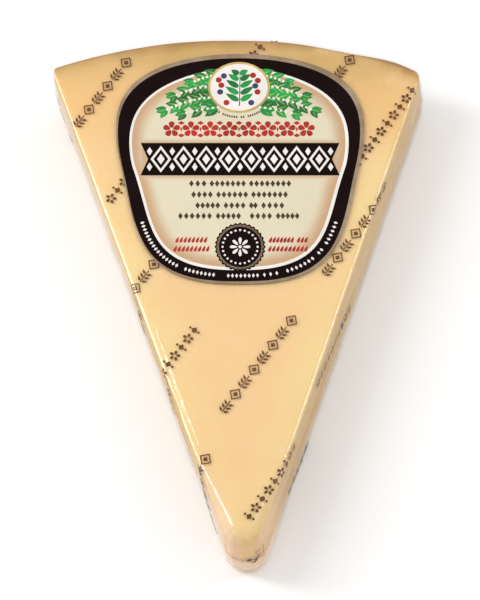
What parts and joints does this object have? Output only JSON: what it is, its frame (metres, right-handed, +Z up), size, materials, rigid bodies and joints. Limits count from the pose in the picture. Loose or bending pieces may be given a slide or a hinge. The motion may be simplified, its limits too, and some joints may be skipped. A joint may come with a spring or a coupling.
{
  "type": "parmesan wedge",
  "caption": "Flat wedge of hard cheese with a rounded tip and an arc-shaped rind side, tight in clear printed film, with a shield-shaped label on its top face.",
  "frame": {"origin": "under the middle of the wedge's box, on the surface that it lies on", "axes": "+Z up through the label, +Y from the tip towards the rind, +X to the right of the label as it is read"},
  "size_m": [0.1018, 0.1474, 0.0248],
  "materials": {
    "sealed_cheese": "creamy golden cheese seen through tight, shiny clear film",
    "printed_label": "coated printed paper, slightly glossy",
    "clear_film": "thin clear shrink film, glossy and slightly creased",
    "film_print": "brown ink printed on the film"
  },
  "bodies": {
    "root": {"sealed_wedge": "sealed_cheese", "label": "printed_label"}
  },
  "joints": []
}
